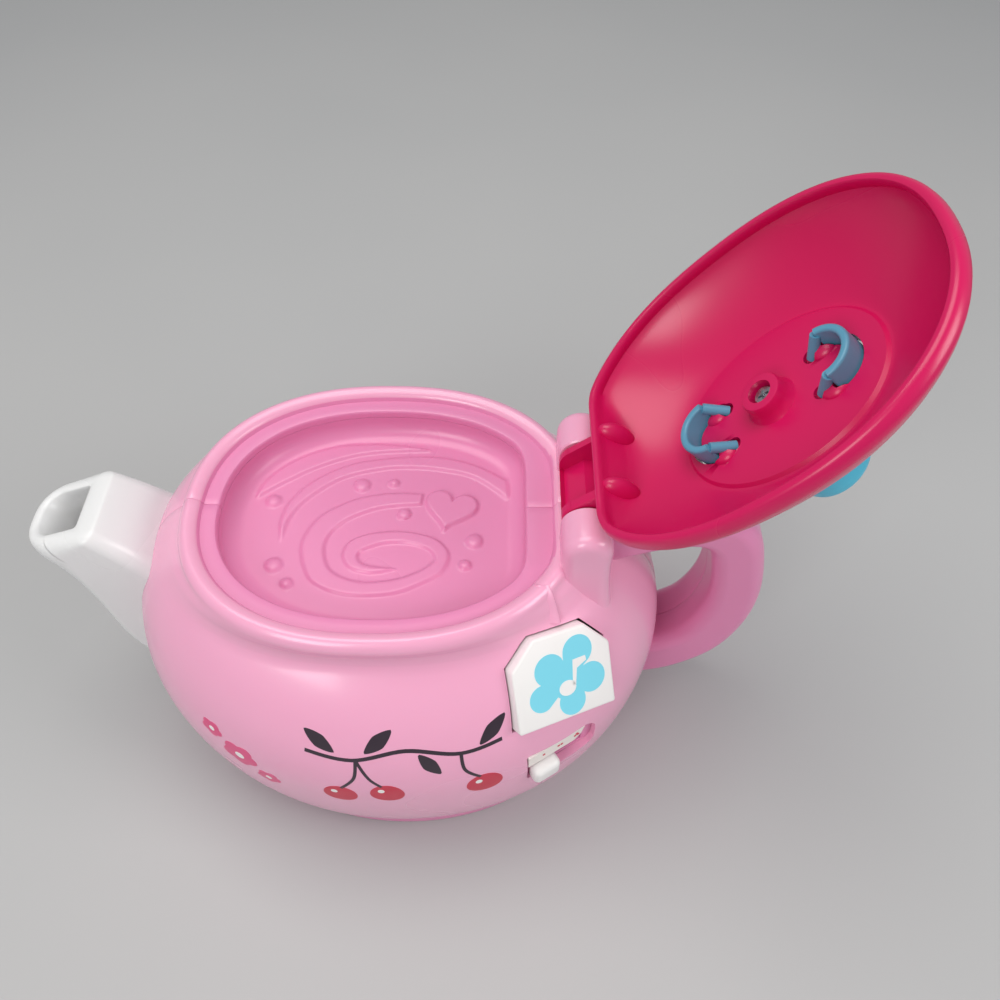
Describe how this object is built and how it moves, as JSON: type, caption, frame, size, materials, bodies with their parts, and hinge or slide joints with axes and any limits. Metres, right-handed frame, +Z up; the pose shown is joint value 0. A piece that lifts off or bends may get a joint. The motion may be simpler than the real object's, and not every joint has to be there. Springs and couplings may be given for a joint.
{
  "type": "toy teapot",
  "caption": "Rounded toy teapot with a hinged dome lid standing open, a flower knob, a milky spout, a loop handle, a tag push button, slide switches and a battery sound unit.",
  "frame": {"origin": "centre of the foot ring on the table", "axes": "+X towards the handle, -X towards the spout, -Y towards the front with the tag button, +Z up"},
  "size_m": [0.223, 0.1315, 0.1839],
  "materials": {
    "body_pink": "glossy light pink moulded plastic",
    "deep_pink": "satin deeper pink moulded plastic",
    "lid_magenta": "glossy magenta moulded plastic",
    "knob_blue": "glossy light blue moulded plastic",
    "spout_milk": "milky translucent white plastic",
    "tag_white": "satin white plastic",
    "lamp_clear": "clear lamp dome",
    "board": "green circuit board lacquer",
    "speaker_black": "matt black",
    "cone_paper": "black paper cone",
    "dome_rubber": "grey silicone rubber",
    "cell_wrap": "printed cell sleeve without words",
    "steel": "bright zinc plating",
    "magnet_steel": "zinc plated",
    "brass": "bare brass"
  },
  "bodies": {
    "pot": {"body_front": "body_pink", "body_back": "body_pink", "shell_screws": "steel", "spout": "spout_milk", "spout_lamp_board": "board", "spout_lamp": "lamp_clear", "handle_front": "deep_pink", "handle_back": "deep_pink", "handle_screws": "steel", "tea_tray": "deep_pink", "base": "deep_pink", "base_screws": "steel", "battery_door": "deep_pink", "battery_door_screw": "steel", "battery_1": "cell_wrap", "battery_2": "cell_wrap", "battery_3": "cell_wrap", "battery_springs": "steel", "battery_contacts": "brass", "speaker_frame": "speaker_black", "speaker_cone": "cone_paper", "speaker_magnet": "magnet_steel", "speaker_clamp": "tag_white", "speaker_screws": "steel", "circuit_board": "board", "sound_chip": "speaker_black", "board_parts": "speaker_black", "board_screws": "steel", "tilt_can": "magnet_steel", "tag_spring": "dome_rubber", "tag_switch_board": "board", "stage_plate": "deep_pink", "stage_switch": "board", "power_plate": "deep_pink", "power_switch": "board", "switch_screws": "steel", "hinge_pin": "steel"},
    "lid": {"lid": "lid_magenta", "lid_knob": "knob_blue", "lid_knob_screw": "steel"},
    "tag": {"tag_button": "tag_white"},
    "stage": {"stage_slider": "tag_white"},
    "power": {"power_slider": "tag_white"},
    "ball": {"tilt_ball": "brass"}
  },
  "joints": [
    {"name": "lid_hinge", "type": "hinge", "parent": "pot", "child": "lid", "pos_m": [0.0516, 0, 0.1005], "axis": [0, 1, 0], "range_deg": [-130.45, 0]},
    {"name": "tag_press", "type": "slide", "parent": "pot", "child": "tag", "axis": [-0.4466, 0.6621, -0.6018], "range_m": [0, 0.0016], "stiffness_N_per_m": 900, "deforming": ["tag_spring"]},
    {"name": "stage_slide", "type": "slide", "parent": "pot", "child": "stage", "axis": [0.848, 0.5299, 0], "range_m": [0, 0.012]},
    {"name": "power_slide", "type": "slide", "parent": "pot", "child": "power", "axis": [-1, 0, 0], "range_m": [0, 0.01]},
    {"name": "tilt_roll", "type": "slide", "parent": "pot", "child": "ball", "axis": [1, 0, 0], "range_m": [0, 0.0058]}
  ]
}
